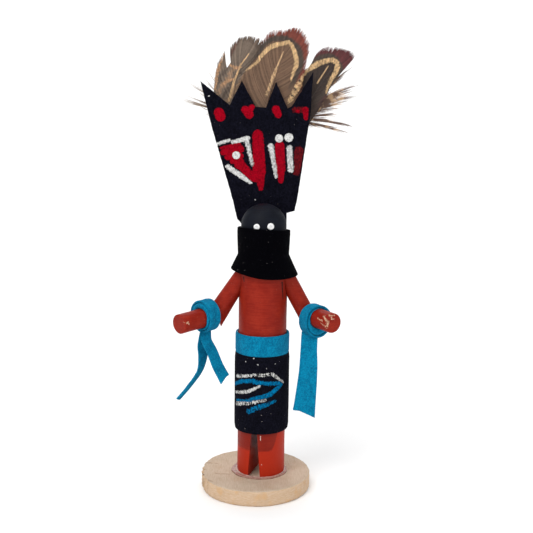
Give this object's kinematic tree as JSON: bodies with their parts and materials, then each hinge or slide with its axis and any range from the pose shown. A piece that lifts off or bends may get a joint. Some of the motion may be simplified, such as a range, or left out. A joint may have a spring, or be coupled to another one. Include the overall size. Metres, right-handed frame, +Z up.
{
  "type": "kachina doll",
  "caption": "Souvenir kachina doll of a masked crown dancer: painted wooden dowel figure with suede dress and crown, and feathers, on a round wooden base.",
  "frame": {"origin": "middle of the flat underside of the round base", "axes": "+Z up the standing figure, -Y the way the figure faces, +X to the figure's left"},
  "size_m": [0.0731, 0.0442, 0.1822],
  "materials": {
    "bare_wood": "matte",
    "terracotta_paint": "satin",
    "black_suede": "matte",
    "turquoise_suede": "matte",
    "feather": "matte"
  },
  "bodies": {
    "root": {"base": "bare_wood", "body": "terracotta_paint", "right_upper_arm": "terracotta_paint", "right_forearm": "terracotta_paint", "left_upper_arm": "terracotta_paint", "left_forearm": "terracotta_paint", "kilt": "black_suede", "scarf": "black_suede", "crown": "black_suede", "belt": "turquoise_suede", "right_sash": "turquoise_suede", "left_sash": "turquoise_suede", "centre_feather": "feather", "left_feather": "feather", "right_feather": "feather", "left_plume": "feather", "right_plume": "feather"}
  },
  "joints": []
}
